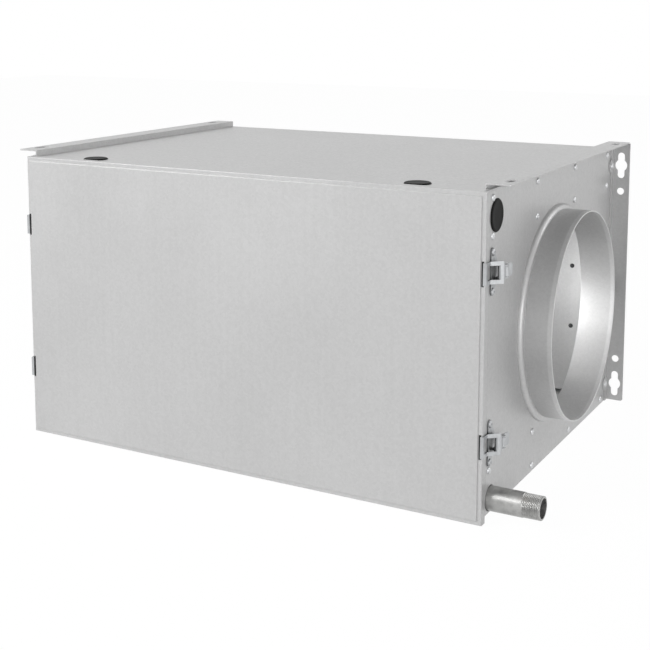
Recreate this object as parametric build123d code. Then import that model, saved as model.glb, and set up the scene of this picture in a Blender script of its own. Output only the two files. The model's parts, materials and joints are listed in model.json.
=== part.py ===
from build123d import *
import math
import os

# Duct cooling coil: a galvanised box in the duct line with a water-cooled fin coil, a condensate
# tray and a front cover held by four toggle latches.
# Frame: X along the air flow, Y = 0 on the wall plane with the front cover at -Y, Z up from the duct axis.

# Casing
casing_width = 616.0
casing_height = 349.0
unit_depth = 465.0
sheet = 1.0
profile_sheet = 1.5
front_flange = 15.0
end_flange = 17.0
seam_gap = 0.3
bend_radius = 1.2
corner_radius = 3.0

# Front cover
cover_depth = 11.7
cover_gap = 0.4
cover_drop = 7.5
cover_rise = 1.0
cover_band = 4.8
cover_step = 1.6
gasket_width = 12.0
pad_thickness = 8.0
finger_slot_width = 2.8
finger_slot_height = 27.0

# Duct connections
duct_radius = 124.5
collar_wall = 0.8
collar_length = 38.0
collar_centre_depth = 230.0
collar_foot_radius = 6.0
collar_foot_edge = 0.6
collar_hem = 0.6
collar_hem_length = 3.0
collar_neck = 6.0
collar_fit = 0.3

# Rivet grid on each end panel, measured from the panel's own edges
rivet_head_radius = 4.0
rivet_head_height = 2.0
rivet_edge = 7.5
rivet_inner_row = 48.0
rivet_first_column = 20.0
rivet_last_column = 30.0
rivet_columns = 4

# Rubber blanking plugs
side_plug_radius = 18.0
side_plug_depth = 30.5
side_plug_from_top = 27.5
top_plug_radius = 15.0
top_plug_depth = 27.5
top_plug_from_end = 89.0
plug_lip = 2.5
plug_lip_height = 1.8
plug_body_length = 7.0

# Ceiling rails and wall brackets
rail_rise = 8.0
rail_web_inset = 5.0
rail_overhang = 22.5
rail_slot_length = 22.0
rail_slot_width = 9.0
rail_slot_inset = 30.0
bracket_hole_offset = 11.5
bracket_leg = 11.0
bracket_ear_radius = 9.0
bracket_rivet_from_top = 24.0
keyhole_from_top = 23.5
keyhole_radius = 8.0
keyhole_slot_width = 9.2
keyhole_length = 34.5
fixing_hole_radius = 4.7
fixing_hole_from_top = 58.5
port_height = -14.0
port_depth = 12.0
port_ring_radius = 9.0
port_plug_radius = 5.5
port_stand = 6.0

# Toggle latches
latch_from_top = 82.0
latch_pin_depth = 24.0
latch_pin_stand = 6.5
latch_pin_radius = 1.5
latch_crank = 8.0
latch_crank_angle = 45.0
latch_plate = 1.5
latch_ear_height = 21.0
latch_ear_radius = 4.5
latch_ear_depth = 19.0
latch_body_height = 10.0
latch_body_length = 16.0
lug_inside = 7.2
lug_sheet = 1.2
lug_radius = 3.2
cheek_sheet = 1.2
cheek_gap = 0.2
lever_reach = 21.0
lever_tab_start = 9.5
lever_tab_stand = 3.2
lever_flare = 2.4
lever_corner = 2.5
claw_sheet = 1.2
claw_width = 24.0
claw_eye_radius = 2.8
claw_eye_width = 11.0
claw_window = 15.0
claw_window_start = 4.0
claw_window_end = 19.0
claw_finger = 3.8
claw_front_gap = 0.3
claw_side_gap = 0.4
claw_neck = 4.5
claw_shoulder = 2.0
claw_foot = 12.0
claw_joggle = 0.6
hinge_fit = 0.06

# Coil
tube_radius = 7.9
tube_pitch = 38.1
tube_rows = 3
fin_start_depth = 51.5
fin_end_gap = 38.5
coil_end_gap = 22.0
fin_thickness = 0.6
fin_clear = 0.2
fin_groove_pitch = 5.0
fin_groove_depth = 8.0
plate_gap = 0.3
plate_end_gap = 37.0
closing_lap = 7.0
closing_leg = 15.0
plate_fold = 8.0
screw_radius = 3.0
screw_height = 1.2
upper_screw = 15.5
lower_screw = -67.5
end_angle_leg = 40.0
end_angle_lip = 9.0
bend_stub = 4.0
header_radius = 11.0
header_offset = 28.0
header_stand = 14.0
header_overrun = 14.0
feed_radius = 6.35
elbow_radius = 8.0
channel_lip = 8.0
water_pipe_radius = 9.0
water_pipe_end = 17.0
union_radius = 13.0
union_length = 14.0

# Condensate tray and drain
tray_wall = 1.0
tray_height = 38.0
tray_floor_rear = 14.0
tray_floor_front = 3.0
plate_foot_gap = 2.0
tray_side_gap = 4.5
tray_front_gap = 0.5
tray_rear_gap = 1.0
drain_radius = 13.45
drain_bore = 10.8
drain_reach = 59.5
drain_thread_length = 20.0
drain_thread_radius = 13.22
drain_depth = 26.0
drain_height = 15.5
drain_hole_gap = 0.8

# Length of the rods that cut holes
through = 60.0

# Derived places
half_width = casing_width / 2
half_height = casing_height / 2
front_y = -unit_depth
casing_front = front_y + cover_depth + cover_gap
duct_y = front_y + collar_centre_depth
side_plug_height = half_height - side_plug_from_top
top_plug_offset = half_width - top_plug_from_end
bracket_rivet_height = half_height - bracket_rivet_from_top
keyhole_height = half_height - keyhole_from_top
fixing_hole_height = half_height - fixing_hole_from_top
latch_height = half_height - latch_from_top
plate_reach = half_width - plate_end_gap
fin_length = unit_depth - fin_start_depth - fin_end_gap
tube_levels = 2 * int((casing_height - 2 * coil_end_gap) / (2 * tube_pitch))
row_pitch = tube_pitch * math.sqrt(3) / 2
fin_front = front_y + fin_start_depth
fin_back = fin_front + fin_length
fin_depth = tube_rows * row_pitch
fin_height = tube_levels * tube_pitch
inner_half = half_width - 2 * sheet
rail_top = half_height + rail_rise
tray_top = -half_height + tray_height
tray_edge = half_height - tray_height
lip_front = fin_front + closing_leg + sheet
lip_back = fin_back - closing_leg - sheet
front_plate_face = fin_front - fin_clear
rear_plate_face = fin_back + fin_clear
drain_y = front_y + drain_depth
drain_z = -half_height + drain_height
flange_out = half_width + 2 * bracket_hole_offset
bracket_hole_x = half_width + bracket_hole_offset
SIDES = {"left": -1, "right": 1}


def block(x0, x1, y0, y1, z0, z1):
    """A box between two corners, whichever way round they are given."""
    size = (abs(x1 - x0), abs(y1 - y0), abs(z1 - z0))
    return Pos((x0 + x1) / 2, (y0 + y1) / 2, (z0 + z1) / 2) * Box(*size)


def rod(centre, radius, length, axis):
    """A cylinder centred on a point, along X, Y or Z."""
    turn = {"x": Rot(0, 90, 0), "y": Rot(90, 0, 0), "z": Rot(0, 0, 0)}[axis]
    return Pos(*centre) * turn * Cylinder(radius, length)


def solids(*shapes):
    """Separate solids that share one node."""
    parts = []
    for shape in shapes:
        parts.extend(shape.solids())
    return Compound(children=parts)


def mirrored(shape, side):
    """The shape as built on the right-hand side, or its mirror on the left."""
    return shape if side > 0 else mirror(shape, about=Plane.YZ)


def rivet(x, y, z, axis):
    """A blind rivet's domed head that sits on a sheet and faces along +X or +Z."""
    turn = Rot(0, 90, 0) if axis == "x" else Rot(0, 0, 0)
    head = Cone(rivet_head_radius, rivet_head_radius * 0.6, rivet_head_height)
    lift = rivet_head_height / 2
    offset = Pos(x + lift, y, z) if axis == "x" else Pos(x, y, z + lift)
    return offset * turn * head


# Casing shells

def rivet_points():
    """Y and Z of the rivets on one end panel: four columns, two rows at the top and two at the bottom."""
    pitch = (unit_depth - rivet_first_column - rivet_last_column) / (rivet_columns - 1)
    columns = [front_y + rivet_first_column + n * pitch for n in range(rivet_columns)]
    rows = [half_height - rivet_edge, half_height - rivet_inner_row]
    points = [(y, sign * z) for y in columns for z in rows for sign in (1, -1)]
    return [p for p in points if math.dist(p, (drain_y, drain_z)) > drain_radius * 2]


def casing_wrap():
    """Top, rear and bottom in one folded sheet, with flanges turned in at its front and both ends."""
    outer = block(-half_width + sheet, half_width - sheet, casing_front, 0, -half_height, half_height)
    inner = block(-inner_half, inner_half, casing_front + sheet, -sheet, -half_height + sheet, half_height - sheet)
    window_z = half_height - end_flange - sheet
    wrap = outer - inner
    wrap -= block(-half_width, half_width, casing_front, -end_flange, -window_z, window_z)
    wrap -= block(-inner_half, inner_half, -end_flange, -sheet, -window_z, window_z)
    for sign in (-1, 1):
        plug_place = (sign * top_plug_offset, front_y + top_plug_depth, half_height)
        wrap -= rod(plug_place, top_plug_radius - plug_lip, 4 * sheet, "z")
        plug_place = (sign * inner_half, front_y + side_plug_depth, side_plug_height)
        wrap -= rod(plug_place, side_plug_radius, 4 * sheet, "x")
    wrap -= rod((half_width, drain_y, drain_z), drain_radius + drain_hole_gap, through, "x")
    return wrap


def end_panel(side):
    """An end sheet with a front flange, the duct opening, the plug hole and the drain hole."""
    panel = block(half_width - sheet, half_width, casing_front, 0, -half_height, half_height)
    flange_z = half_height - end_flange - sheet - seam_gap
    panel += block(half_width - front_flange, half_width, casing_front, casing_front + sheet, -flange_z, flange_z)
    panel -= rod((half_width, duct_y, 0), duct_radius + collar_fit, 4 * sheet, "x")
    plug_y = front_y + side_plug_depth
    panel -= rod((half_width, plug_y, side_plug_height), side_plug_radius - plug_lip, 4 * sheet, "x")
    if side > 0:
        panel -= rod((half_width, drain_y, drain_z), drain_radius + drain_hole_gap, through, "x")
    return mirrored(panel, side)


def end_angle(side, level):
    """An angle riveted inside the end panel; the lower one's lip sheds condensate into the tray."""
    outer = half_height - sheet - end_flange - seam_gap
    inner = tray_edge - plate_gap - sheet
    leg_low = outer - end_angle_leg
    front = casing_front + sheet + seam_gap
    back = -end_flange - seam_gap
    angle = block(inner_half, inner_half + sheet, front, back, leg_low, outer)
    angle += block(inner_half - end_angle_lip, inner_half, lip_front, lip_back, inner, inner + sheet)
    angle -= rod((half_width, duct_y, 0), duct_radius + collar_fit, through, "x")
    plug_back = front_y + side_plug_depth + side_plug_radius
    plug_low = side_plug_height - side_plug_radius
    angle -= block(inner_half, half_width, front, plug_back, plug_low, outer)
    angle = angle if level > 0 else mirror(angle, about=Plane.XY)
    return mirrored(angle, side)


def panel_rivets():
    """Rivet heads on both end panels and on the wall brackets' legs."""
    heads = [rivet(half_width, y, z, "x") for y, z in rivet_points()]
    for z in (bracket_rivet_height, -bracket_rivet_height):
        heads.append(rivet(half_width + profile_sheet, -bracket_leg, z, "x"))
    return solids(*heads, *[mirror(head, about=Plane.YZ) for head in heads])


# Duct collars

def duct_collar(side):
    """A round collar: a neck through the panel, a rolled bead on it, a thin wall and a rim hemmed inwards."""
    r = duct_radius
    bore = r - collar_wall
    end = collar_length
    hem = end - collar_hem_length
    foot = collar_foot_radius
    edge = collar_foot_edge
    profile = Polyline(
        (edge, r + foot),
        (0, r + foot),
        (0, r),
        (-collar_neck, r),
        (-collar_neck, bore),
        (hem, bore),
        (hem, bore - collar_hem),
        (end, bore - collar_hem),
        (end, r),
        (edge + foot, r),
    )
    bead = CenterArc((edge, r), foot, 0, 90)
    collar = revolve(Plane.XZ * make_face([profile, bead]), axis=Axis.X)
    return mirrored(Pos(half_width, duct_y, 0) * collar, side)


# Rubber plugs

def plug(radius):
    """A blanking plug along +Z: a thin domed lip outside the sheet and a grooved body through it."""
    neck = radius - plug_lip
    lip = Cone(radius, radius - plug_lip_height, plug_lip_height)
    body = Cylinder(neck, sheet)
    bulb = Cone(neck - 1, neck + 0.8, plug_body_length - sheet)
    plug_shape = Pos(0, 0, plug_lip_height / 2) * lip
    plug_shape += Pos(0, 0, -sheet / 2) * body
    plug_shape += Pos(0, 0, -(plug_body_length + sheet) / 2) * bulb
    return plug_shape


def side_plugs():
    place = Pos(half_width, front_y + side_plug_depth, side_plug_height) * Rot(0, 90, 0)
    right = place * plug(side_plug_radius)
    return solids(right, mirror(right, about=Plane.YZ))


def top_plugs():
    right = Pos(top_plug_offset, front_y + top_plug_depth, half_height) * plug(top_plug_radius)
    return solids(right, mirror(right, about=Plane.YZ))


def port_rings():
    """The rings of the small ports on the wall brackets' legs."""
    foot = half_width + profile_sheet
    ring = rod((foot + port_stand / 2, -port_depth, port_height), port_ring_radius, port_stand, "x")
    ring = chamfer(ring.edges().group_by(Axis.X)[-1], port_stand / 4)
    ring -= rod((foot, -port_depth, port_height), port_plug_radius, through, "x")
    return solids(ring, mirror(ring, about=Plane.YZ))


def port_plugs():
    """The black plugs inside the small ports' rings."""
    foot = half_width + profile_sheet
    cap = rod((foot + port_stand / 2, -port_depth, port_height), port_plug_radius, port_stand, "x")
    cap = fillet(cap.edges().group_by(Axis.X)[-1], plug_lip_height / 2)
    return solids(cap, mirror(cap, about=Plane.YZ))


# Ceiling rails and wall brackets

def ceiling_rail(side):
    """A channel rail along the top edge, with a slotted flange that overhangs the end panel."""
    web = half_width - rail_web_inset
    out = half_width + rail_overhang
    front = casing_front
    rail = block(web - profile_sheet, half_width, front, 0, half_height, half_height + profile_sheet)
    rail += block(web - profile_sheet, web, front, 0, half_height, rail_top)
    rail += block(web - profile_sheet, out, front, 0, rail_top - profile_sheet, rail_top)
    slot_x = (half_width + out) / 2
    for y in (front + rail_slot_inset, -rail_slot_inset):
        slot = SlotOverall(rail_slot_length, rail_slot_width, rotation=90)
        rail -= Pos(slot_x, y, rail_top - 2 * profile_sheet) * extrude(slot, 3 * profile_sheet)
    corners = rail.edges().filter_by(Axis.Z).group_by(Axis.X)[-1]
    return mirrored(fillet(corners, corner_radius), side)


def keyhole(z):
    """A double-ended keyhole: a round middle with a slot above and below it."""
    slot = SlotOverall(keyhole_length, keyhole_slot_width, rotation=90)
    return Pos(bracket_hole_x, z) * (slot + Circle(keyhole_radius))


def wall_bracket(side):
    """An L-profile upright: a pierced flange on the wall plane and a leg riveted to the end panel."""
    top = rail_top - profile_sheet
    flange = Rectangle(flange_out - half_width, top + half_height)
    flange = Pos((flange_out + half_width) / 2, (top - half_height) / 2) * flange
    flange = fillet(flange.vertices().group_by(Axis.Y)[0].sort_by(Axis.X)[-1], corner_radius)
    for sign in (1, -1):
        flange -= keyhole(sign * keyhole_height)
        flange -= Pos(bracket_hole_x, sign * fixing_hole_height) * Circle(fixing_hole_radius)
    bracket = extrude(Plane.XZ * flange, profile_sheet)
    leg = Pos(-bracket_leg / 2, 0) * Rectangle(bracket_leg, casing_height)
    for sign in (1, -1):
        leg += Pos(-bracket_leg, sign * bracket_rivet_height) * Circle(bracket_ear_radius)
    leg += Pos(-port_depth, port_height) * Circle(port_ring_radius + profile_sheet)
    leg &= Pos(-bracket_leg, 0) * Rectangle(2 * bracket_leg, casing_height)
    bracket += extrude(Plane(origin=(half_width, 0, 0), x_dir=(0, 1, 0), z_dir=(1, 0, 0)) * leg, profile_sheet)
    return mirrored(bracket, side)


# Front cover

def cover_box(inset, low, high):
    """A box of the cover's outline, inset all round, between two depths behind the cover face."""
    reach = half_width - inset
    bottom = -half_height - cover_drop + inset
    top = half_height + cover_rise - inset
    return block(-reach, reach, front_y + low, front_y + high, bottom, top)


def front_cover():
    """The cover pan: a field that stands a step proud of its border band, and returns on four sides."""
    rim = cover_box(0, cover_step, cover_depth)
    rim = fillet(rim.edges().group_by(Axis.Y)[0], bend_radius)
    field = cover_box(cover_band, 0, cover_step + sheet)
    field = fillet(field.edges().group_by(Axis.Y)[0], bend_radius)
    pan = rim + field
    pan -= cover_box(sheet, cover_step + sheet, cover_depth + sheet)
    pan -= cover_box(cover_band + sheet, sheet, cover_depth)
    slot_x = half_width - cover_band + finger_slot_width / 2 + sheet / 2
    for z in (latch_height, -latch_height):
        for sign in (-1, 1):
            slot_z = z + (cover_rise - cover_drop) / 2
            x = sign * slot_x
            wide = finger_slot_width / 2
            tall = finger_slot_height / 2
            pan -= block(x - wide, x + wide, front_y, front_y + cover_step + sheet, slot_z - tall, slot_z + tall)
    return pan


def cover_gasket():
    """The soft frame inside the pan that seals on the casing's front flanges."""
    low = cover_step + sheet
    high = cover_depth
    return cover_box(sheet, low, high) - cover_box(sheet + gasket_width, low - 1, high + 1)


def cover_pad():
    """The insulation slab glued inside the pan."""
    return cover_box(sheet + gasket_width + 1, sheet, sheet + pad_thickness)


# Toggle latches, drawn on the right end panel. Depth runs back from the cover face, stand out from the panel.

def latch_z(level):
    return level * latch_height + (cover_rise - cover_drop) / 2


def latch_plane(z):
    """A sketch plane on a latch: its x runs back from the cover face and its y out from the panel."""
    return Plane(origin=(half_width, front_y, z), x_dir=(0, 1, 0), z_dir=(0, 0, -1))


def slab(sketch, z, low, high):
    """A latch profile made solid between two heights above the latch's centre line."""
    return extrude(latch_plane(z + high) * sketch, high - low)


crank_out = latch_crank * math.sin(math.radians(latch_crank_angle))
crank_back = latch_crank * math.cos(math.radians(latch_crank_angle))
claw_pin_depth = latch_pin_depth + crank_back
claw_pin_stand = latch_pin_stand + crank_out
lug_outside = lug_inside + lug_sheet
cheek_outside = lug_inside - cheek_gap
cheek_inside = cheek_outside - cheek_sheet


def latch_base(side, level):
    """The base: a plate with two riveted ears and two lugs that carry the hinge pin."""
    z = latch_z(level)
    ears = [Pos(latch_ear_depth, s * latch_ear_height) * Circle(latch_ear_radius) for s in (1, -1)]
    body = Pos(latch_pin_depth, 0) * RectangleRounded(latch_body_length, 2 * latch_body_height, 2)
    outline = make_hull(Sketch(children=[*ears, body]).edges())
    plate_plane = Plane(origin=(half_width, front_y, z), x_dir=(0, 1, 0), z_dir=(1, 0, 0))
    base = extrude(plate_plane * outline, latch_plate)
    lug = Pos(latch_pin_depth, latch_pin_stand) * Circle(lug_radius)
    lug += Pos(latch_pin_depth, latch_pin_stand / 2) * Rectangle(2 * lug_radius, latch_pin_stand)
    lug -= Pos(latch_pin_depth, latch_pin_stand) * Circle(latch_pin_radius)
    base += slab(lug, z, lug_inside, lug_outside) + slab(lug, z, -lug_outside, -lug_inside)
    return mirrored(base, side)


def latch_pins():
    """The four hinge pins, headed on both ends."""
    pins = []
    for side in SIDES.values():
        for level in (1, -1):
            z = latch_z(level)
            pin = slab(Pos(latch_pin_depth, latch_pin_stand) * Circle(latch_pin_radius), z, -lug_outside, lug_outside)
            head = Pos(latch_pin_depth, latch_pin_stand) * Circle(latch_pin_radius + lug_sheet / 2)
            pin += slab(head, z, lug_outside, lug_outside + lug_sheet)
            pin += slab(head, z, -lug_outside - lug_sheet, -lug_outside)
            pins.append(mirrored(pin, side))
    return solids(*pins)


def latch_rivets():
    """The rivet heads in the ears of the four latch bases."""
    heads = []
    for side in SIDES.values():
        for level in (1, -1):
            for ear in (1, -1):
                z = latch_z(level) + ear * latch_ear_height
                head = rivet(half_width + latch_plate, front_y + latch_ear_depth, z, "x")
                heads.append(mirrored(head, side))
    return solids(*heads)


def latch_lever(side, level):
    """The lever: two cheeks that hold both pins, joined by a flared thumb tab behind them."""
    z = latch_z(level)
    pin = Pos(latch_pin_depth, latch_pin_stand)
    claw_pin = Pos(claw_pin_depth, claw_pin_stand)
    tab_start = latch_pin_depth + lever_tab_start
    tab_low = latch_pin_stand + lever_tab_stand
    heel = Pos(tab_start + 1, tab_low + cheek_sheet / 2) * Circle(cheek_sheet / 2)
    ring = Sketch(children=[pin * Circle(lug_radius), claw_pin * Circle(claw_eye_radius), heel])
    cheek = make_hull(ring.edges())
    cheek -= pin * Circle(latch_pin_radius + hinge_fit)
    cheek -= claw_pin * Circle(latch_pin_radius)
    lever = slab(cheek, z, cheek_inside, cheek_outside) + slab(cheek, z, -cheek_outside, -cheek_inside)
    tab_end = latch_pin_depth + lever_reach
    tab = make_face(Polyline(
        (tab_start, tab_low),
        (tab_end, tab_low + lever_flare),
        (tab_end, tab_low + lever_flare + cheek_sheet),
        (tab_start, tab_low + cheek_sheet),
        close=True,
    ))
    tab_solid = slab(tab, z, -cheek_outside, cheek_outside)
    tab_solid = fillet(tab_solid.edges().group_by(Axis.Y)[-1].sort_by(SortBy.LENGTH)[:2], lever_corner)
    return mirrored(lever + tab_solid, side)


def claw_pin(side, level):
    """The pin that carries the claw between the lever's cheeks."""
    pin = slab(Pos(claw_pin_depth, claw_pin_stand) * Circle(latch_pin_radius), latch_z(level),
               -cheek_outside, cheek_outside)
    return mirrored(pin, side)


def latch_claw(side, level):
    """The claw: an eye on the lever, a joggled tongue with a window, and a finger over the cover's band."""
    z = latch_z(level)
    t = claw_sheet
    low = claw_side_gap
    high = claw_pin_stand
    finger_front = cover_step - claw_front_gap - t
    shoulder = latch_pin_depth - claw_shoulder
    foot = latch_pin_depth - claw_foot
    tongue = make_face(Polyline(
        (claw_pin_depth, high),
        (shoulder, high - claw_joggle),
        (foot, low),
        (finger_front + t, low),
        (finger_front + t, -claw_finger + t + low),
        (finger_front, -claw_finger + t + low),
        (finger_front, low + t),
        (foot - t / 2, low + t),
        (shoulder - t / 2, high - claw_joggle + t),
        (claw_pin_depth, high + t),
        close=True,
    ))
    half = claw_width / 2
    eye_half = claw_eye_width / 2
    claw = slab(tongue, z, -half, half)
    neck = claw_pin_depth - claw_neck
    back = claw_pin_depth + claw_neck
    plan = make_face(Polyline(
        (finger_front - t, half),
        (shoulder, half),
        (neck, eye_half),
        (back, eye_half),
        (back, -eye_half),
        (neck, -eye_half),
        (shoulder, -half),
        (finger_front - t, -half),
        close=True,
    ))
    window = Rectangle(claw_window_end - claw_window_start, claw_window)
    plan -= Pos((claw_window_start + claw_window_end) / 2, 0) * window
    plan_plane = Plane(origin=(half_width - through / 2, front_y, z), x_dir=(0, 1, 0), z_dir=(1, 0, 0))
    claw &= extrude(plan_plane * plan, through)
    eye = Pos(claw_pin_depth, claw_pin_stand) * Circle(claw_eye_radius)
    claw += slab(eye, z, -eye_half, eye_half)
    claw -= slab(Pos(claw_pin_depth, claw_pin_stand) * Circle(latch_pin_radius + hinge_fit), z, -half, half)
    return mirrored(claw, side)


# Coil

def tube_place(row, level):
    """X and Z of a tube: rows across the air flow, every second row half a pitch lower."""
    x = (row - (tube_rows - 1) / 2) * row_pitch
    stagger = -tube_pitch / 4 if row % 2 else tube_pitch / 4
    z = (level - (tube_levels - 1) / 2) * tube_pitch + stagger
    return x, z


def fin_pack():
    """The fin block: its gaps run in from both air faces, and the tubes pass through its core."""
    half = fin_depth / 2
    root = half - fin_groove_depth
    count = int(fin_length // fin_groove_pitch)
    gap = fin_groove_pitch - fin_thickness
    pack = block(-half, half, fin_front, fin_back, -fin_height / 2, fin_height / 2)
    grooves = []
    for n in range(count):
        y = fin_front + (n + 0.5) * fin_groove_pitch
        for sign in (-1, 1):
            centre = (sign * (root + half) / 2, y)
            grooves.append(Pos(*centre) * Rectangle(fin_groove_depth, gap))
    pack -= extrude(Pos(0, 0, -fin_height / 2) * Sketch(children=grooves), fin_height)
    for row in range(tube_rows):
        for level in range(tube_levels):
            x, z = tube_place(row, level)
            pack -= rod((x, (fin_front + fin_back) / 2, z), tube_radius, fin_length, "y")
    return pack


def coil_tubes():
    """The straight tubes, which end a stub beyond both coil plates."""
    length = fin_length + 2 * (profile_sheet + bend_stub + fin_clear)
    middle = (fin_front + fin_back) / 2
    tubes = []
    for row in range(tube_rows):
        for level in range(tube_levels):
            x, z = tube_place(row, level)
            tubes.append(rod((x, middle, z), tube_radius, length, "y"))
    return solids(*tubes)


def return_bend(start, end, outward):
    """A return bend between two tube ends, with mitred corners."""
    y = fin_back if outward > 0 else fin_front
    y += outward * (profile_sheet + bend_stub + fin_clear)
    a = Vector(start[0], y, start[1])
    b = Vector(end[0], y, end[1])
    span = (b - a).normalized()
    out = Vector(0, outward, 0)
    reach = tube_pitch / 2
    cut = reach * 0.45
    path = Polyline(a, a + out * (reach - cut), a + out * reach + span * cut,
                    b + out * reach - span * cut, b + out * (reach - cut), b)
    section = Plane(origin=a, z_dir=out) * RegularPolygon(tube_radius, 8)
    return sweep(section, path=path, transition=Transition.RIGHT)


def rear_bends():
    """At the rear each pair of levels is joined in all rows."""
    bends = []
    for row in range(tube_rows):
        for level in range(0, tube_levels, 2):
            bends.append(return_bend(tube_place(row, level), tube_place(row, level + 1), 1))
    return solids(*bends)


def front_bends():
    """At the front the last row joins the middle one above, and the middle joins the first below."""
    bends = []
    for level in range(0, tube_levels, 2):
        bends.append(return_bend(tube_place(2, level + 1), tube_place(1, level + 1), -1))
        bends.append(return_bend(tube_place(1, level), tube_place(0, level), -1))
    return solids(*bends)


def header(row, levels, sign):
    """A vertical header beside the bends, with an elbow to each tube it feeds."""
    tube_end = fin_front - profile_sheet - bend_stub - fin_clear
    x_tube = tube_place(row, 0)[0]
    x = x_tube + sign * header_offset
    y = tube_end - header_stand
    heights = [tube_place(row, level)[1] for level in levels]
    low = min(heights) - header_overrun
    high = side_plug_height + header_radius + feed_radius / 2
    pipe = rod((x, y, (low + high) / 2), header_radius, high - low, "z")
    for z in heights:
        path = FilletPolyline((x_tube, tube_end, z), (x_tube, y, z), (x, y, z), radius=elbow_radius)
        pipe += sweep(Plane(origin=(x_tube, tube_end, z), z_dir=(0, -1, 0)) * Circle(feed_radius), path=path)
    return pipe


def water_pipe(side):
    """A connection pipe from a header to the blanking plug beside it, with a union nut at its end."""
    x_header = abs(tube_place(0, 0)[0]) + header_offset
    start = x_header + header_radius
    end = half_width - water_pipe_end
    y = front_plate_face - profile_sheet - bend_stub - header_stand
    pipe = rod(((start + end) / 2, y, side_plug_height), water_pipe_radius, end - start, "x")
    nut = Plane(origin=(end - union_length, y, side_plug_height), z_dir=(1, 0, 0)) * RegularPolygon(union_radius, 6)
    pipe += extrude(nut, union_length)
    pipe -= rod((end, y, side_plug_height), water_pipe_radius - 2 * sheet, union_length, "x")
    return mirrored(pipe, side)


def coil_plate(y, outward):
    """A tube plate that closes the air way: its foot dips into the tray, its top folds under the casing."""
    top = half_height - sheet - plate_gap
    low = -half_height + tray_floor_rear + plate_foot_gap
    back = y + profile_sheet
    tray_half = inner_half - tray_side_gap - tray_wall - plate_gap
    plate = block(-plate_reach, plate_reach, y, back, tray_top + plate_gap, top)
    plate += block(-tray_half, tray_half, y, back, low, tray_top + plate_gap)
    fold = back if outward > 0 else y
    plate += block(-plate_reach, plate_reach, fold, fold + outward * plate_fold, top - profile_sheet, top)
    for row in range(tube_rows):
        for level in range(tube_levels):
            x, z = tube_place(row, level)
            plate -= rod((x, y, z), tube_radius + fin_clear, 4 * profile_sheet, "y")
    return plate


def closing_angle(side, y, inward):
    """An angle that laps the tube plate's end and closes it against the end panel."""
    low = tray_top + 2 * plate_gap + sheet
    top = half_height - sheet - plate_gap
    end = inner_half - plate_gap
    face = y + inward * sheet
    angle = block(plate_reach - closing_lap, end, y, face, low, top)
    angle += block(end - sheet, end, y, y + inward * closing_leg, low, top)
    return mirrored(angle, side)


def closing_screws():
    """The screw heads that hold the closing angles to the tube plates, seen from inside the air way."""
    heads = []
    for face, inward in ((front_plate_face, 1), (rear_plate_face, -1)):
        y = face + inward * (sheet + screw_height / 2)
        for z in (upper_screw, lower_screw):
            for side in SIDES.values():
                heads.append(rod((side * (plate_reach - closing_lap / 2), y, z), screw_radius, screw_height, "y"))
    return solids(*heads)


def coil_rail(sign):
    """The coil's top and bottom plates: a channel over the ends of the fins."""
    z = sign * (fin_height / 2 + fin_clear)
    lip = sign * (fin_height / 2 - channel_lip)
    half = fin_depth / 2 + fin_clear
    front = fin_front + fin_clear
    back = fin_back - fin_clear
    plate = block(-half - sheet, half + sheet, front, back, z, z + sign * sheet)
    for edge in (-1, 1):
        plate += block(edge * half, edge * (half + sheet), front, back, lip, z + sign * sheet)
    return plate


# Condensate tray and drain

def condensate_tray():
    """The tray: its floor falls from the rear to the drain in the front right corner."""
    reach = inner_half - tray_side_gap
    front = casing_front + sheet + tray_front_gap
    back = -sheet - tray_rear_gap
    bottom = -half_height + sheet
    rear_floor = -half_height + tray_floor_rear
    front_floor = -half_height + tray_floor_front
    walls = block(-reach, reach, front, back, bottom, tray_top)
    walls -= block(-reach + tray_wall, reach - tray_wall, front + tray_wall, back - tray_wall, bottom, tray_top)
    floor_profile = make_face(Polyline(
        (front, front_floor - tray_wall),
        (front, front_floor),
        (back, rear_floor),
        (back, rear_floor - tray_wall),
        close=True,
    ))
    tray = walls + extrude(Plane(origin=(-reach, 0, 0), x_dir=(0, 1, 0), z_dir=(1, 0, 0)) * floor_profile, 2 * reach)
    return tray - rod((reach, drain_y, drain_z), drain_bore, 4 * tray_wall, "x")


def drain_pipe():
    """The drain pipe on the tray's side wall, out through the end panel, with a threaded outer end."""
    start = inner_half - tray_side_gap
    end = half_width + drain_reach
    neck = end - drain_thread_length
    pipe = rod(((start + neck) / 2, drain_y, drain_z), drain_radius, neck - start, "x")
    pipe += rod(((neck + end) / 2, drain_y, drain_z), drain_thread_radius, end - neck, "x")
    pipe = chamfer(pipe.edges().group_by(Axis.X)[-1], 1)
    return pipe - rod(((start + end) / 2, drain_y, drain_z), drain_bore, end - start, "x")


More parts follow.
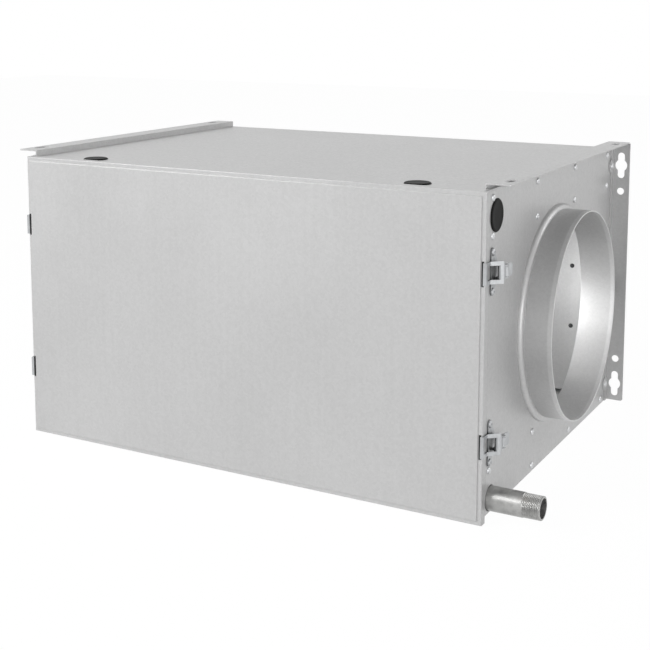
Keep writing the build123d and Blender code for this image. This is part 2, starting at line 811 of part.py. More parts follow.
def build():
    parts = {
        "casing_wrap": casing_wrap(),
        "panel_rivets": panel_rivets(),
        "side_plugs": side_plugs(),
        "top_plugs": top_plugs(),
        "port_rings": port_rings(),
        "port_plugs": port_plugs(),
        "front_cover": front_cover(),
        "cover_gasket": cover_gasket(),
        "cover_pad": cover_pad(),
        "latch_pins": latch_pins(),
        "latch_rivets": latch_rivets(),
        "coil_fin_pack": fin_pack(),
        "coil_tubes": coil_tubes(),
        "coil_rear_bends": rear_bends(),
        "coil_front_bends": front_bends(),
        "coil_header_supply": header(tube_rows - 1, range(0, tube_levels, 2), 1),
        "coil_header_return": header(0, range(1, tube_levels, 2), -1),
        "water_pipe_supply": water_pipe(1),
        "water_pipe_return": water_pipe(-1),
        "coil_front_plate": coil_plate(front_plate_face - profile_sheet, -1),
        "coil_rear_plate": coil_plate(rear_plate_face, 1),
        "closing_screws": closing_screws(),
        "coil_top_channel": coil_rail(1),
        "coil_bottom_channel": coil_rail(-1),
        "condensate_tray": condensate_tray(),
        "drain_pipe": drain_pipe(),
    }
    for side_name, side in SIDES.items():
        parts["end_panel_" + side_name] = end_panel(side)
        parts["closing_angle_front_" + side_name] = closing_angle(side, front_plate_face, 1)
        parts["closing_angle_rear_" + side_name] = closing_angle(side, rear_plate_face, -1)
        parts["duct_collar_" + side_name] = duct_collar(side)
        parts["ceiling_rail_" + side_name] = ceiling_rail(side)
        parts["wall_bracket_" + side_name] = wall_bracket(side)
        for level_name, level in {"upper": 1, "lower": -1}.items():
            tag = side_name + "_" + level_name
            parts["end_angle_" + tag] = end_angle(side, level)
            parts["latch_base_" + tag] = latch_base(side, level)
            parts["latch_lever_" + tag] = latch_lever(side, level)
            parts["latch_claw_" + tag] = latch_claw(side, level)
            parts["claw_pin_" + tag] = claw_pin(side, level)
    return parts


os.makedirs("parts", exist_ok=True)
for node, shape in build().items():
    export_step(shape, "parts/" + node + ".step")
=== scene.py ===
import json
import math
import random

import bmesh
import bpy
import numpy as np
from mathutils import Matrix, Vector


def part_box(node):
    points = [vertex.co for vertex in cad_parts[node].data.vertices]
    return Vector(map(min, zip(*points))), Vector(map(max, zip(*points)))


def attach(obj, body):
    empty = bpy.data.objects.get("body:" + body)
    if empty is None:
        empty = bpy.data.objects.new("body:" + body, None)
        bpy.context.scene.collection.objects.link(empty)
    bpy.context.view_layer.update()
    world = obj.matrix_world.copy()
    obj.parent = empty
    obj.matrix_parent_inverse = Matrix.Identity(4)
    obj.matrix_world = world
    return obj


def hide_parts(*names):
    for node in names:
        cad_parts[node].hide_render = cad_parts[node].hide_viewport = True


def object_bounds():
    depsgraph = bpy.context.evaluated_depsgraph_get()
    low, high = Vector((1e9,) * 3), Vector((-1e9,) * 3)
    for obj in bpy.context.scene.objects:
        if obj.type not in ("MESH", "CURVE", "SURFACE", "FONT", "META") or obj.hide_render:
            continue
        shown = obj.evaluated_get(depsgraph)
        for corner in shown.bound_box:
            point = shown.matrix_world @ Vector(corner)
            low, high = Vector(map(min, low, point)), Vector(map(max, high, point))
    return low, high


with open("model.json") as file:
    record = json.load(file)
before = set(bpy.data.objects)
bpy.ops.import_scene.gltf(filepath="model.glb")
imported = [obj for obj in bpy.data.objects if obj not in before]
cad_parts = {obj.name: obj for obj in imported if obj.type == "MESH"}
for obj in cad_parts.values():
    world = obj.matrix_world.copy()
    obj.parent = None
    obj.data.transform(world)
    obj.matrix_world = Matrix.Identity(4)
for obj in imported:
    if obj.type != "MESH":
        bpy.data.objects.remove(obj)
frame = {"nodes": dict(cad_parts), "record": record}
cad_low, cad_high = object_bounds()
NODES = frame["nodes"]
BODY = {}
for body_name, members in frame["record"]["behaviour"]["bodies"].items():
    for member in members:
        BODY[member] = body_name
SLOT = {part["node"]: part["material_slot"] for part in frame["record"]["subparts"]}
MM = 0.001
WELD = 1e-6
rng = random.Random(7)


# Node helpers

class Graph:
    """A short way to write a material's nodes."""

    def __init__(self, tree):
        self.tree = tree
        self.tree.nodes.clear()

    def add(self, kind, **values):
        node = self.tree.nodes.new("ShaderNode" + kind)
        for key, value in values.items():
            if key in node.inputs.keys():
                self.put(node.inputs[key], value)
            else:
                setattr(node, key, value)
        return node

    def put(self, socket, value):
        if isinstance(value, bpy.types.NodeSocket):
            self.tree.links.new(value, socket)
        else:
            socket.default_value = value

    def math(self, operation, a, b=0.0):
        node = self.add("Math", operation=operation)
        self.put(node.inputs[0], a)
        self.put(node.inputs[1], b)
        return node.outputs[0]

    def total(self, first, *others):
        for other in others:
            first = self.math("ADD", first, other)
        return first

    def remap(self, value, low, high, new_low, new_high):
        node = self.add("MapRange")
        sockets = ("Value", "From Min", "From Max", "To Min", "To Max")
        for socket, number in zip(sockets, (value, low, high, new_low, new_high)):
            self.put(node.inputs[socket], number)
        return node.outputs["Result"]

    def contrast(self, noise, new_low, new_high):
        """The middle of a noise, where nearly all of its values lie, spread over a new range."""
        return self.remap(noise, 0.3, 0.7, new_low, new_high)

    def mix(self, factor, a, b):
        node = self.add("Mix", data_type="RGBA")
        self.put(node.inputs["Factor"], factor)
        self.put(node.inputs[6], a)
        self.put(node.inputs[7], b)
        return node.outputs[2]

    def blend(self, factor, a, b):
        """Two shaders mixed by a factor."""
        node = self.add("MixShader")
        for socket, value in zip(node.inputs, (factor, a.outputs[0], b.outputs[0])):
            self.put(socket, value)
        return node.outputs[0]

    def grey(self, value):
        node = self.add("CombineColor")
        for socket in node.inputs:
            self.put(socket, value)
        return node.outputs[0]

    def place(self):
        return self.add("TexCoord").outputs["Object"]

    def noise(self, vector, scale, detail=3.0, rough=0.5):
        node = self.add("TexNoise", Scale=scale, Detail=detail, Roughness=rough)
        self.put(node.inputs["Vector"], vector)
        return node.outputs["Fac"]

    def stretched(self, scale):
        mapping = self.add("Mapping", Scale=scale)
        self.put(mapping.inputs["Vector"], self.place())
        return mapping.outputs["Vector"]

    def axis(self, vector, name):
        """One component of a vector."""
        split = self.add("SeparateXYZ")
        self.put(split.inputs[0], vector)
        return split.outputs[name]

    def backdrop_rays(self):
        """1 for the rays that see the backdrop: the camera's, and those in gloss or glass."""
        rays = self.add("LightPath").outputs
        seen = self.math("MAXIMUM", rays["Is Camera Ray"], rays["Is Glossy Ray"])
        return self.math("MAXIMUM", seen, rays["Is Transmission Ray"])

    def edge_wear(self, width, gain):
        """The gain on outer edges and 0 on flat faces, from the bevel of the surface normal."""
        bevel = self.add("Bevel", samples=6, Radius=width)
        flat = self.add("NewGeometry").outputs["Normal"]
        dot = self.add("VectorMath", operation="DOT_PRODUCT")
        self.put(dot.inputs[0], bevel.outputs["Normal"])
        self.put(dot.inputs[1], flat)
        return self.math("MULTIPLY", self.remap(dot.outputs["Value"], 0.995, 0.9, 0.0, 1.0), gain)


def material(name):
    mat = bpy.data.materials.new(name)
    mat.use_nodes = True
    return mat, Graph(mat.node_tree)


def output(graph, kind, shader):
    out = graph.add("Output" + kind)
    graph.put(out.inputs["Surface"], shader)


def finish_material(mat, graph, colour, roughness, height, strength, distance, **uniform):
    """Closes a material with a bumped Principled shader."""
    bump = graph.add("Bump", Strength=strength, Distance=distance)
    graph.put(bump.inputs["Height"], height)
    shader = graph.add("BsdfPrincipled", **uniform)
    links = {"Base Color": colour, "Roughness": roughness, "Normal": bump.outputs["Normal"]}
    for name, value in links.items():
        graph.put(shader.inputs[name], value)
    output(graph, "Material", shader.outputs[0])
    return mat


def scaled(colour, factor):
    """A colour times a factor, as RGBA."""
    return tuple(min(1.0, c * factor) for c in colour) + (1.0,)


# The denoiser treats a roughness under about 0.27 as a mirror and leaves speckles at the border
# of such crystals, so every metal here stays above it.

SHARP_EDGE = 0.25 * MM


def galvanised(name, level, contrast=0.05, spangle=260.0, rough=0.42, metal=0.55,
               highlight_band_from=None):
    """Zinc-coated sheet: small crystals that differ in shade, roughness and slope, with faint
    rolling streaks. Past the given distance from the middle plane a painted highlight band makes
    it brighter."""
    warp_size = 2.5 * MM
    highlight_band_width, highlight_band_gain = 1.5 * MM, 0.17
    mat, g = material(name)
    place = g.place()
    warp = g.add("TexNoise", Scale=spangle * 0.7, Detail=2.0)
    g.put(warp.inputs["Vector"], place)
    offset = g.add("VectorMath", operation="MULTIPLY_ADD")
    g.put(offset.inputs[0], warp.outputs["Color"])
    g.put(offset.inputs[1], (warp_size, warp_size, warp_size))
    g.put(offset.inputs[2], place)
    crystals = g.add("TexVoronoi", Scale=spangle)
    g.put(crystals.inputs["Vector"], offset.outputs["Vector"])
    cell = g.add("SeparateColor")
    g.put(cell.inputs[0], crystals.outputs["Color"])
    shade_cell, rough_cell, slope_cell = cell.outputs[:3]
    fine = g.noise(place, 900.0, 3.0, 0.65)
    cloud = g.noise(place, 7.0, 3.0, 0.5)
    streak = g.noise(g.stretched((140.0, 140.0, 3.0)), 1.0, 3.0, 0.6)
    shade = g.total(g.remap(shade_cell, 0.0, 1.0, -contrast, contrast),
                    g.contrast(fine, -contrast * 0.7, contrast * 0.7),
                    g.contrast(cloud, -0.02, 0.02),
                    g.contrast(streak, -0.012, 0.012),
                    g.edge_wear(SHARP_EDGE, 0.08))
    # Painted highlight: a brighter band past the given distance from the middle plane, towards the
    # collar's free end.
    if highlight_band_from:
        outward = g.math("ABSOLUTE", g.axis(place, "X"))
        end = highlight_band_from + highlight_band_width
        shade = g.total(shade, g.remap(outward, highlight_band_from, end, 0.0, highlight_band_gain))
    value = g.math("MULTIPLY", g.math("ADD", shade, 1.0), level)
    roughness = g.total(g.remap(rough_cell, 0.0, 1.0, rough - 0.07, rough + 0.07),
                        g.contrast(cloud, -0.04, 0.04))
    height = g.total(g.math("MULTIPLY", slope_cell, 0.5), g.math("MULTIPLY", fine, 0.6))
    return finish_material(mat, g, g.grey(value), roughness, height, 0.12, 0.2 * MM,
                           Metallic=metal)


def pressed_metal(name, colour, rough=0.38, metal=0.9, grain=0.06, wear_gain=0.35, relief=0.15,
                  painted_shade_depth=0.0):
    """A plated or bare metal: mottled colour, brushed roughness, brighter edges and, where asked,
    painted shade that darkens its hollows by their ambient occlusion."""
    shade_reach = 10 * MM
    mat, g = material(name)
    mottle = g.noise(g.place(), 160.0, 4.0, 0.6)
    brush = g.noise(g.stretched((60.0, 900.0, 900.0)), 1.0, 2.0, 0.5)
    dark, light = scaled(colour, 1.0 - 2.0 * grain), scaled(colour, 1.0 + 2.0 * grain)
    base = g.mix(g.contrast(mottle, 0.0, 1.0), dark, light)
    bright = tuple(min(1.0, c + (1.0 - c) * wear_gain) for c in colour) + (1.0,)
    base = g.mix(g.edge_wear(SHARP_EDGE, 0.6), base, bright)
    # Painted shade: the colour is darkened where ambient occlusion finds hollows, standing in for
    # the shade that falls there.
    if painted_shade_depth:
        occlusion_shade = g.add("AmbientOcclusion", samples=8, Distance=shade_reach).outputs["AO"]
        base = g.mix(g.remap(occlusion_shade, 0.35, 0.85, 1.0, 0.0), base, scaled(colour, 1.0 - painted_shade_depth))
    return finish_material(mat, g, base, g.contrast(brush, rough - 0.08, rough + 0.1),
                           g.total(brush, mottle), relief, 0.1 * MM, Metallic=metal)


def soft_black(name, level, rough, scale=500.0, depth=0.2 * MM, gloss=0.5):
    """Moulded rubber or foam: near black, uneven and slightly dusty on its edges."""
    mat, g = material(name)
    place = g.place()
    grain = g.noise(place, scale, 4.0, 0.6)
    dust = g.noise(place, 60.0, 4.0, 0.6)
    value = g.total(g.contrast(grain, level * 0.7, level * 1.3),
                    g.remap(dust, 0.45, 0.8, 0.0, level * 0.8),
                    g.edge_wear(0.6 * MM, level * 1.2))
    return finish_material(mat, g, g.grey(value), rough, grain, 0.25, depth,
                           **{"Specular IOR Level": gloss})


def drain_steel(name):
    """Bare welded pipe: dull grey scale with faint rusty traces and brighter thread crests."""
    mat, g = material(name)
    place = g.place()
    scale = g.noise(place, 110.0, 5.0, 0.65)
    rust = g.noise(place, 45.0, 5.0, 0.6)
    base = g.mix(g.contrast(scale, 0.0, 1.0), (0.30, 0.30, 0.295, 1), (0.48, 0.48, 0.47, 1))
    base = g.mix(g.remap(rust, 0.6, 0.8, 0.0, 0.25), base, (0.34, 0.28, 0.24, 1))
    base = g.mix(g.edge_wear(0.4 * MM, 0.5), base, (0.6, 0.6, 0.59, 1))
    return finish_material(mat, g, base, g.contrast(scale, 0.3, 0.45), scale, 0.3, 0.2 * MM,
                           Metallic=0.8)


ZINC_SHEET = dict(level=0.6, contrast=0.03, spangle=380.0, metal=0.4)
# The latch plating gets painted shade in its hollows.
LATCH_ZINC = dict(rough=0.43, metal=0.95, grain=0.05, wear_gain=0.5, relief=0.06, painted_shade_depth=0.9)
RIVET_ZINC = dict(rough=0.37, metal=0.8, grain=0.02, wear_gain=0.1, relief=0.04)
MATERIALS = {
    "galvanised_sheet": galvanised("galvanised sheet", **ZINC_SHEET),
    "tray_steel": galvanised("tray sheet", 0.5, contrast=0.04),
    "latch_zinc": pressed_metal("latch plating", (0.47, 0.48, 0.49), **LATCH_ZINC),
    "rivet_zinc": pressed_metal("rivet plating", (0.66, 0.67, 0.68), **RIVET_ZINC),
    "pipe_steel": drain_steel("drain pipe steel"),
    "black_rubber": soft_black("black rubber", 0.0035, 0.55, gloss=0.12),
    "seal_foam": soft_black("seal foam", 0.03, 0.9, 900.0, 0.4 * MM),
    "insulation": soft_black("insulation foam", 0.06, 0.95, 700.0, 0.5 * MM),
    "fin_aluminium": pressed_metal("fin foil", (0.74, 0.75, 0.76), grain=0.04),
    "copper": pressed_metal("copper tube", (0.72, 0.38, 0.25), 0.37, 0.95, 0.08),
}
SCREW_STEEL = pressed_metal("blackened screw", (0.06, 0.06, 0.062), 0.42, 0.6, 0.1, 0.1)
# The collar sheet carries a painted highlight band near its free end.
COLLAR = galvanised("collar sheet", 0.55, contrast=0.03, spangle=420.0, rough=0.41, metal=0.6,
                    highlight_band_from=340 * MM)


# Mesh helpers

def link(name, mesh):
    obj = bpy.data.objects.new(name, mesh)
    bpy.context.scene.collection.objects.link(obj)
    return obj


def mesh_object(name, verts, faces):
    mesh = bpy.data.meshes.new(name)
    mesh.from_pydata([tuple(v) for v in verts], [], [tuple(f) for f in faces])
    return link(name, mesh)


def piece(name, form, node, mat=None, smooth=35.0):
    """Makes a mesh that stands for a CAD node and rides on its body."""
    obj = mesh_object(name, *form)
    obj.data.validate()
    return dress(obj, node, mat, smooth)


def dress(obj, node, mat=None, smooth=35.0, bevel=0.0):
    """Gives a piece its shading, material and edges, and puts it in its node's place."""
    mesh = obj.data
    bm = bmesh.new()
    bm.from_mesh(mesh)
    bmesh.ops.recalc_face_normals(bm, faces=bm.faces)
    for face in bm.faces:
        face.smooth = True
    limit = math.radians(smooth)
    for edge in bm.edges:
        if len(edge.link_faces) != 2 or edge.calc_face_angle(0.0) > limit:
            edge.smooth = False
    bm.to_mesh(mesh)
    bm.free()
    mesh.materials.append(mat or MATERIALS[SLOT[node]])
    if bevel:
        modifier = obj.modifiers.new("soft edges", "BEVEL")
        modifier.width = bevel
        modifier.segments = 2
        modifier.limit_method = "ANGLE"
        modifier.angle_limit = math.radians(40.0)
        modifier.use_clamp_overlap = True
        modifier.harden_normals = True
    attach(obj, BODY[node])
    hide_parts(node)
    return obj


def welded(node):
    """A CAD node's mesh with its seams closed."""
    bm = bmesh.new()
    bm.from_mesh(NODES[node].data)
    bmesh.ops.remove_doubles(bm, verts=bm.verts, dist=WELD)
    return bm


def refined(node, bevel=0.0, smooth=35.0):
    """The CAD node's own form as a clean mesh with soft edges."""
    bm = welded(node)
    bmesh.ops.dissolve_limit(bm, angle_limit=math.radians(0.5), verts=bm.verts, edges=bm.edges)
    mesh = bpy.data.meshes.new(node + "_skin")
    bm.to_mesh(mesh)
    bm.free()
    return dress(link(node + "_skin", mesh), node, smooth=smooth, bevel=bevel)


def solids(node):
    """The corners of each separate solid of a CAD node."""
    bm = welded(node)
    seen = set()
    clouds = []
    for start in bm.verts:
        if start in seen:
            continue
        seen.add(start)
        stack, points = [start], []
        while stack:
            vert = stack.pop()
            points.append(vert.co.copy())
            for edge in vert.link_edges:
                other = edge.other_vert(vert)
                if other not in seen:
                    seen.add(other)
                    stack.append(other)
        clouds.append(np.array(points))
    bm.free()
    return clouds


def islands(node):
    """The lowest and highest corner of each separate solid of a CAD node."""
    return [(cloud.min(axis=0), cloud.max(axis=0)) for cloud in solids(node)]


def node_box(node):
    return (np.array(corner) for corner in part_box(node))


def axis_frame(axis):
    """An axis as a unit vector, and two unit vectors across it."""
    axis = Vector(axis).normalized()
    across = Vector((0, 0, 1)) if abs(axis.z) < 0.9 else Vector((1, 0, 0))
    u = axis.cross(across).normalized()
    return axis, u, axis.cross(u)


def lathe(profile, centre, axis, segments=48, closed=False):
    """A surface of revolution: profile holds (distance along the axis, radius) in metres."""
    axis, u, v = axis_frame(axis)
    centre = Vector(centre)
    verts, faces, rings = [], [], []
    for along, radius in profile:
        if radius < 1e-9:
            rings.append([len(verts)])
            verts.append(centre + axis * along)
            continue
        ring = []
        for k in range(segments):
            t = 2 * math.pi * k / segments
            ring.append(len(verts))
            verts.append(centre + axis * along + (u * math.cos(t) + v * math.sin(t)) * radius)
        rings.append(ring)
    pairs = list(zip(rings, rings[1:]))
    if closed:
        pairs.append((rings[-1], rings[0]))
    for a, b in pairs:
        for k in range(segments):
            n = (k + 1) % segments
            if len(a) == 1 and len(b) > 1:
                faces.append((a[0], b[n], b[k]))
            elif len(b) == 1 and len(a) > 1:
                faces.append((a[k], a[n], b[0]))
            elif len(a) > 1:
                faces.append((a[k], a[n], b[n], b[k]))
    return verts, faces


def rod_profile(length, radius):
    return [(0, 0), (0, radius), (length, radius), (length, 0)]


def joined(parts):
    verts, faces = [], []
    for part_verts, part_faces in parts:
        start = len(verts)
        verts.extend(part_verts)
        faces.extend(tuple(i + start for i in f) for f in part_faces)
    return verts, faces


def tube_path(points, radius, segments=20):
    """A closed round rod that follows the points."""
    verts, faces = [], []
    points = [Vector(p) for p in points]
    last = len(points) - 1
    across = None
    for i, point in enumerate(points):
        ahead = points[min(i + 1, last)] - points[max(i - 1, 0)]
        ahead.normalize()
        if across is None:
            across = axis_frame(ahead)[1]
        across = (across - ahead * across.dot(ahead)).normalized()
        other = ahead.cross(across)
        for k in range(segments):
            t = 2 * math.pi * k / segments
            verts.append(point + (across * math.cos(t) + other * math.sin(t)) * radius)
    for i in range(last):
        for k in range(segments):
            n = (k + 1) % segments
            a, b = i * segments, (i + 1) * segments
            faces.append((a + k, a + n, b + n, b + k))
    faces.append(tuple(range(segments)))
    faces.append(tuple(range(last * segments, (last + 1) * segments)))
    return verts, faces


def plate(low, high):
    (x0, y0, z0), (x1, y1, z1) = low, high
    verts = [(x, y, z) for x in (x0, x1) for y in (y0, y1) for z in (z0, z1)]
    faces = [(0, 1, 3, 2), (4, 6, 7, 5), (0, 4, 5, 1), (2, 3, 7, 6), (0, 2, 6, 4), (1, 5, 7, 3)]
    return verts, faces


# Sheet metal pieces

SHEETS = ["casing_wrap", "front_cover", "condensate_tray", "coil_front_plate", "coil_rear_plate",
          "coil_top_channel", "coil_bottom_channel"]
FOLDED = ("end_panel", "end_angle", "closing_angle", "ceiling_rail", "wall_bracket")
SHEETS += [node for node in NODES if node.startswith(FOLDED)]
for node in SHEETS:
    refined(node, bevel=0.25 * MM)
for node in NODES:
    if node.startswith(("latch_base", "latch_lever", "latch_claw")):
        refined(node, bevel=0.2 * MM, smooth=30.0)
for node in ("cover_gasket", "cover_pad"):
    refined(node)


# Rivets, screws and pins

def turned(low, high, axis_index, sign, shape, segments, closed=False):
    """A turned form that fills a solid's box, with its foot on the side that sign points from.
    The shape holds (distance along the axis / height, radius / largest radius)."""
    radius = max(high[(axis_index + step) % 3] - low[(axis_index + step) % 3]
                 for step in (1, 2)) / 2
    height = high[axis_index] - low[axis_index]
    foot = (low + high) / 2
    foot[axis_index] = low[axis_index] if sign > 0 else high[axis_index]
    axis = [0.0, 0.0, 0.0]
    axis[axis_index] = sign
    return lathe([(height * a, radius * r) for a, r in shape], foot, axis, segments, closed)


def heads(node, shape, segments=28, closed=False):
    """One turned form for each solid in a node, pointing out from the casing's middle plane."""
    return joined(turned(low, high, 0, 1.0 if low[0] + high[0] > 0 else -1.0, shape, segments,
                         closed) for low, high in islands(node))


DOME = [(0.0, 0.0), (0.0, 1.0), (0.12, 1.0), (0.45, 0.93), (0.74, 0.76), (0.93, 0.52),
        (1.0, 0.34), (0.95, 0.29), (0.7, 0.26), (0.7, 0.0)]
for node in ("panel_rivets", "latch_rivets"):
    piece(node + "_heads", heads(node, DOME), node, smooth=50.0)

SCREW = [(0.0, 0.0), (0.0, 1.0), (0.35, 1.0), (0.8, 0.8), (1.0, 0.5), (1.0, 0.0)]
COIL_MIDDLE_Y = -235 * MM
screws = joined(turned(low, high, 1, 1.0 if (low[1] + high[1]) / 2 < COIL_MIDDLE_Y else -1.0,
                       SCREW, 24) for low, high in islands("closing_screws"))
piece("closing_screw_heads", screws, "closing_screws", mat=SCREW_STEEL, smooth=50.0)


def pins(node, headed):
    """Upright pins, with a cap at each end of a thinner shank where they are headed."""
    shank, cap, rounding = 1.5 * MM, 1.2 * MM, 0.8
    parts = []
    for low, high in islands(node):
        x, y = (low[0] + high[0]) / 2, (low[1] + high[1]) / 2
        radius = (high[0] - low[0]) / 2
        length = high[2] - low[2]
        profile = rod_profile(length, radius)
        if headed:
            lower = [(0, 0), (0, radius * rounding), (cap * 0.4, radius), (cap, radius),
                     (cap, shank)]
            profile = lower + [(length - along, r) for along, r in reversed(lower)]
        parts.append(lathe(profile, (x, y, low[2]), (0, 0, 1), 28))
    return joined(parts)


piece("latch_pin_turned", pins("latch_pins", True), "latch_pins", smooth=40.0)
for node in NODES:
    if node.startswith("claw_pin"):
        piece(node + "_turned", pins(node, False), node, smooth=40.0)


# Rubber plugs and ports

PLUG_CREST = 0.245
PLUG = [(-1.0, 0.0), (-1.0, 0.72), (-0.93, 0.8), (-0.25, 0.88), (-0.17, 0.8), (0.0, 0.8),
        (0.0, 1.0), (0.05, 1.0), (0.16, 0.965), (0.23, 0.9), (PLUG_CREST, 0.84), (0.22, 0.8),
        (0.21, 0.35), (0.21, 0.0)]


def plugs(node, axis_index):
    """Blanking plugs with a rounded lip and a shallow dish, whose lip's foot lies on the sheet."""
    lip_share = 0.2
    parts = []
    for low, high in islands(node):
        sign = 1.0 if low[axis_index] + high[axis_index] > 0 else -1.0
        radius = (high[(axis_index + 1) % 3] - low[(axis_index + 1) % 3]) / 2
        length = high[axis_index] - low[axis_index]
        lip = length * lip_share
        foot = (low + high) / 2
        foot[axis_index] = high[axis_index] - lip if sign > 0 else low[axis_index] + lip
        axis = [0.0, 0.0, 0.0]
        axis[axis_index] = sign
        inner = length - lip
        profile = [(a * inner if a < 0 else a / PLUG_CREST * lip, r * radius) for a, r in PLUG]
        parts.append(lathe(profile, foot, axis, 64))
    return joined(parts)


piece("side_plug_moulded", plugs("side_plugs", 0), "side_plugs", smooth=40.0)
piece("top_plug_moulded", plugs("top_plugs", 2), "top_plugs", smooth=40.0)
RING = [(0.0, 0.61), (0.0, 1.0), (0.62, 1.0), (0.86, 0.95), (0.97, 0.86), (1.0, 0.78),
        (1.0, 0.7), (0.9, 0.61)]
piece("port_rings_turned", heads("port_rings", RING, 48, closed=True), "port_rings")
CAP = [(0.0, 0.0), (0.0, 1.0), (0.86, 1.0), (0.95, 0.94), (0.99, 0.84), (1.0, 0.74),
       (0.95, 0.68), (0.9, 0.6), (0.9, 0.0)]
piece("port_plugs_moulded", heads("port_plugs", CAP, 48), "port_plugs")


# Duct collars

def collar(node, sign):
    """A spun collar: a round bead at its foot, and a hem folded in at its free end."""
    low, high = node_box(node)
    centre = (sign * 308 * MM, (low[1] + high[1]) / 2, (low[2] + high[2]) / 2)
    r, wall, foot, edge, end, hem = (v * MM for v in (124.5, 0.8, 6.0, 0.6, 38.0, 3.0))
    inset, fold, soft, step = (v * MM for v in (6.0, 0.6, 0.3, 0.2))
    inner = r - wall
    profile = [(edge, r + foot), (0, r + foot), (0, r), (-inset, r), (-inset, inner),
               (end - hem, inner), (end - hem + step, inner - fold), (end - soft, inner - fold),
               (end, inner - soft), (end, r - soft), (end - soft, r)]
    bead_steps = 8
    for k in range(bead_steps):
        t = math.radians(90 * k / bead_steps)
        profile.append((edge + foot * math.cos(t), r + foot * math.sin(t)))
    return lathe(profile, centre, (sign, 0, 0), 192, closed=True)


for side, sign in (("left", -1), ("right", 1)):
    node = "duct_collar_" + side
    piece(node + "_spun", collar(node, sign), node, mat=COLLAR, smooth=40.0)


# Drain pipe with a tapered pipe thread

def threaded_pipe():
    low, high = node_box("drain_pipe")
    centre_y, centre_z = (low[1] + high[1]) / 2, (low[2] + high[2]) / 2
    start, end = low[0], high[0]
    neck = end - 20 * MM
    body, crest, bore, depth, pitch = (v * MM for v in (13.45, 13.2, 10.8, 1.0, 1.814))
    segments, per_turn = 72, 6
    steps = int((end - neck) / pitch * per_turn)
    rows = [(start, bore), (start, body), (neck - 0.6 * MM, body), (neck, crest - 0.4 * MM)]
    for k in range(1, steps):
        rows.append((neck + (end - neck) * k / steps, None))
    rows += [(end, crest - 1.0 * MM), (end, bore)]
    verts, faces = [], []
    for x, radius in rows:
        for s in range(segments):
            t = 2 * math.pi * s / segments
            r = radius
            if radius is None:
                phase = ((x - neck) / pitch + s / segments) % 1.0
                tooth = 1.0 - abs(2.0 * phase - 1.0)
                run = min(1.0, (end - x) / (2.2 * pitch), (x - neck) / (1.0 * pitch))
                r = crest - 0.12 * MM - depth * tooth * max(0.15, min(1.0, run + 0.4))
            verts.append((x, centre_y + r * math.cos(t), centre_z + r * math.sin(t)))
    count = len(rows)
    for i in range(count):
        a, b = i * segments, ((i + 1) % count) * segments
        for s in range(segments):
            n = (s + 1) % segments
            faces.append((a + s, a + n, b + n, b + s))
    return verts, faces


piece("drain_pipe_threaded", threaded_pipe(), "drain_pipe", smooth=25.0)


# Coil

TUBE_RADIUS, BEND_RADIUS = 7.9 * MM, 7.7 * MM


def fins(count=150):
    """Thin foils, each a little off its place and with a slightly uneven edge."""
    low, high = node_box("coil_fin_pack")
    half = 0.1 * MM
    parts = []
    for k in range(count):
        y = low[1] + (high[1] - low[1]) * (k + 0.5) / count
        y += rng.uniform(-0.12, 0.12) * MM
        edge = rng.uniform(0.0, 0.25) * MM
        parts.append(plate((low[0] + edge, y - half, low[2]), (high[0] - edge, y + half, high[2])))
    return joined(parts)


def tubes():
    parts = []
    for low, high in islands("coil_tubes"):
        x, z = (low[0] + high[0]) / 2, (low[2] + high[2]) / 2
        profile = rod_profile(high[1] - low[1], TUBE_RADIUS)
        parts.append(lathe(profile, (x, low[1], z), (0, 1, 0), 32))
    return joined(parts)


def bends(node, outward):
    """Half-round return bends between pairs of tube ends."""
    steps = 16
    parts = []
    for cloud in solids(node):
        flat = cloud[:, 1].min() if outward > 0 else cloud[:, 1].max()
        ends = cloud[np.abs(cloud[:, 1] - flat) < 1e-5][:, (0, 2)]
        middle = ends.mean(axis=0)
        spread = ends - middle
        side = spread @ np.linalg.svd(spread, full_matrices=False)[2][0]
        a = ends[side < 0].mean(axis=0)
        b = ends[side > 0].mean(axis=0)
        half = np.linalg.norm(b - a) / 2
        unit = (b - a) / (2 * half)
        path = []
        for k in range(steps + 1):
            t = math.pi * k / steps
            place = middle - unit * half * math.cos(t)
            path.append((place[0], flat + outward * half * math.sin(t), place[1]))
        parts.append(tube_path(path, BEND_RADIUS, 24))
    return joined(parts)


piece("coil_fins", fins(), "coil_fin_pack", smooth=20.0)
piece("coil_tubes_drawn", tubes(), "coil_tubes", smooth=40.0)
for node, outward in (("coil_rear_bends", 1), ("coil_front_bends", -1)):
    piece(node + "_swept", bends(node, outward), node, smooth=60.0)
for node in ("coil_header_supply", "coil_header_return"):
    refined(node, smooth=50.0)
for node in ("water_pipe_supply", "water_pipe_return"):
    refined(node, bevel=0.3 * MM)


# Floor and world: white to the camera and in gloss, plain to the light that falls on the object

FLOOR_HALF = 6.0
FLOOR_Z = cad_low.z - 0.5 * MM
FLOOR_WHITE = 0.96
WORLD_STRENGTH = 0.32
corners = [(x * FLOOR_HALF, y * FLOOR_HALF, FLOOR_Z)
           for x, y in ((-1, -1), (1, -1), (1, 1), (-1, 1))]
floor = mesh_object("floor", corners, [(0, 1, 2, 3)])
mat, g = material("floor white")
diffuse = g.add("BsdfDiffuse", Color=(0.82, 0.82, 0.82, 1))
glow = g.add("Emission", Color=(1, 1, 1, 1), Strength=1.02)
output(g, "Material", g.blend(g.math("MULTIPLY", g.backdrop_rays(), FLOOR_WHITE), diffuse, glow))
floor.data.materials.append(mat)

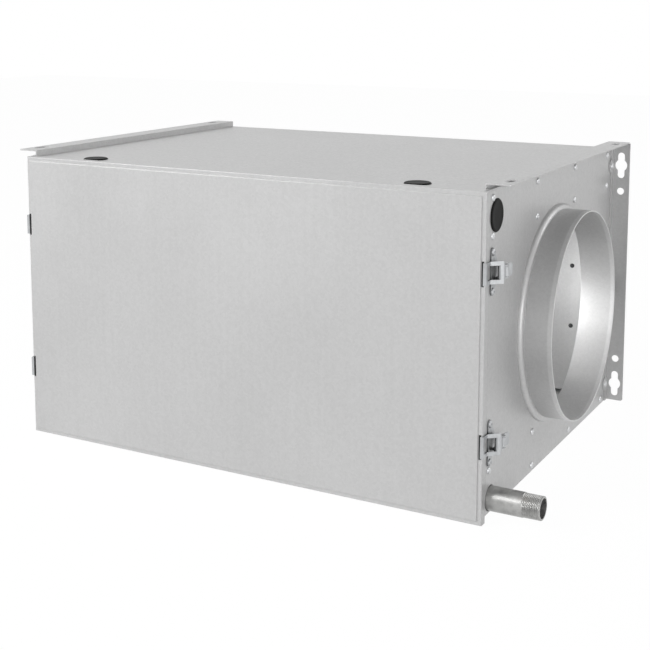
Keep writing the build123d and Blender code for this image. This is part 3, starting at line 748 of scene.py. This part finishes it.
world = bpy.data.worlds.new("studio")
bpy.context.scene.world = world
world.use_nodes = True
g = Graph(world.node_tree)
direction = g.add("TexCoord").outputs["Generated"]
up = g.remap(g.axis(direction, "Z"), -0.3, 1.0, 0.0, 0.15)
left = g.remap(g.axis(direction, "X"), -1.0, 1.0, 0.35, 0.0)
light = g.add("Background", Strength=WORLD_STRENGTH)
g.put(light.inputs["Color"], g.grey(g.total(up, left, 0.42)))
white = g.add("Background", Color=(1, 1, 1, 1), Strength=1.0)
output(g, "World", g.blend(g.backdrop_rays(), light, white))


# Lamps

def lamp(data, place, target, power):
    """Links a lamp that points at a target and doesn't show in the picture."""
    data.energy = power
    obj = link(data.name, data)
    obj.location = place
    aim = Vector(target) - Vector(place)
    obj.rotation_euler = aim.to_track_quat("-Z", "Y").to_euler()
    obj.visible_camera = False


def softbox(name, place, target, width, height, power):
    data = bpy.data.lights.new(name, "AREA")
    data.shape = "RECTANGLE"
    data.size = width
    data.size_y = height
    lamp(data, place, target, power)


def spot(name, place, target, cone, softness, power):
    data = bpy.data.lights.new(name, "SPOT")
    data.spot_size = math.radians(cone)
    data.spot_blend = 1.0
    data.shadow_soft_size = softness
    lamp(data, place, target, power)


RIGHT_SIDE = (0.3, -0.2, 0)
softbox("key_left", (-1.8, -2.6, 1.8), (0, -0.3, 0), 1.8, 1.4, 67)
softbox("low_right", (2.2, -2.2, 0.1), RIGHT_SIDE, 1.0, 0.8, 17)
softbox("rear_right", (2.2, 1.6, 1.1), RIGHT_SIDE, 1.2, 1.2, 10)

# Small lamps in the air way, which stand for the light that reaches it through the duct
softbox("air_way", (0.075, -0.33, 0.0), (0.575, 0.17, -0.05), 0.06, 0.22, 0.42)
spot("collar_wall", (0.17, -0.285, 0.0), (0.335, -0.115, -0.04), 60.0, 0.03, 2.0)


# Camera

YAW, PITCH = math.radians(28.8568), math.radians(7.5)
camera_data = bpy.data.cameras.new("camera")
camera = link("camera", camera_data)
bpy.context.scene.camera = camera
camera.location = (0.75928, -1.62350, 0.36170)
forward = Vector((-math.sin(YAW) * math.cos(PITCH), math.cos(YAW) * math.cos(PITCH),
                  -math.sin(PITCH)))
camera.rotation_euler = forward.to_track_quat("-Z", "Y").to_euler()
camera_data.sensor_width = 36.0
camera_data.lens = 67.9215
camera_data.shift_y = -0.2407
camera_data.clip_start = 0.05
camera_data.clip_end = 50.0
bpy.context.scene.view_settings.view_transform = "Standard"
